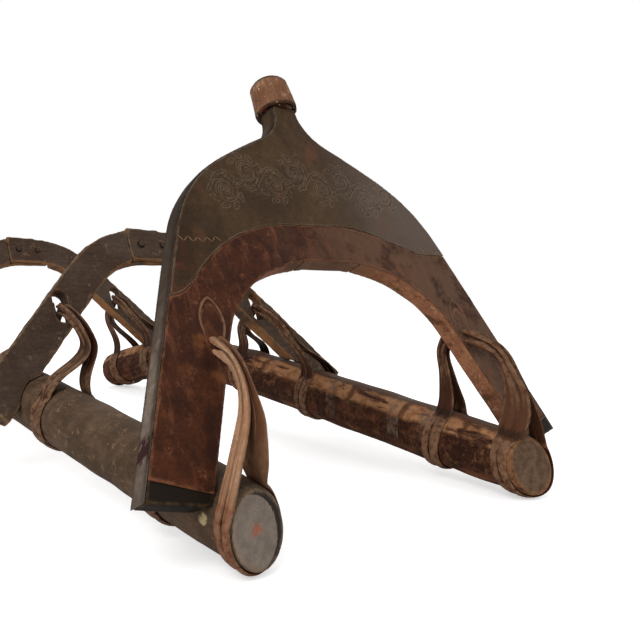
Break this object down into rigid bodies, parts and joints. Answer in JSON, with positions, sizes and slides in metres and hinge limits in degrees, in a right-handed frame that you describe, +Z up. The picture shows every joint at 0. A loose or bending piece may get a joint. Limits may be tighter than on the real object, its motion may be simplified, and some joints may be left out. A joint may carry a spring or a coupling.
{
  "type": "camel saddle stool frame",
  "caption": "Low wooden saddle stool: a tall front arch with a knob and leather facing, slender back arches, two round poles and rawhide lashings.",
  "frame": {"origin": "on the floor, under the middle of the frame's box", "axes": "+X across, to the right of someone who faces the front arch; +Y along the poles from the front arch to the back; +Z up"},
  "size_m": [0.4848, 0.8635, 0.4048],
  "materials": {
    "pole_wood": "old round wood, worn dark, dry",
    "arch_wood": "old sawn board, worn and oiled by use",
    "upper_leather": "dark tooled leather with scrolls, dusty and rubbed",
    "band_leather": "red-brown leather, stitched at its upper seam, rubbed",
    "edge_leather": "thin grey-brown leather strip, dusty, matt",
    "knob_wood": "turned wood, light brown, worn smooth",
    "cap_wood": "thin dark disc, satin",
    "peg_wood": "whittled pegs, dry end grain",
    "rawhide": "dried rawhide strip, tan, darker in the grooves"
  },
  "bodies": {
    "root": {"front_arch_crown": "arch_wood", "front_arch_dowels": "peg_wood", "front_arch_leg_left": "arch_wood", "front_arch_leg_right": "arch_wood", "front_edge_strip_left": "edge_leather", "front_edge_strip_right": "edge_leather", "front_knob": "knob_wood", "front_knob_cap": "cap_wood", "front_skin_lower": "band_leather", "front_skin_upper": "upper_leather", "lashing_front_left_back": "rawhide", "lashing_front_left_fore": "rawhide", "lashing_front_right_back": "rawhide", "lashing_front_right_fore": "rawhide", "lashing_middle_left_back": "rawhide", "lashing_middle_left_fore": "rawhide", "lashing_middle_right_back": "rawhide", "lashing_middle_right_fore": "rawhide", "lashing_rear_left_back": "rawhide", "lashing_rear_left_fore": "rawhide", "lashing_rear_right_back": "rawhide", "lashing_rear_right_fore": "rawhide", "middle_arch_left": "arch_wood", "middle_arch_pegs": "peg_wood", "middle_arch_right": "arch_wood", "pole_left": "pole_wood", "pole_right": "pole_wood", "rear_arch_left": "arch_wood", "rear_arch_pegs": "peg_wood", "rear_arch_right": "arch_wood"}
  },
  "joints": []
}
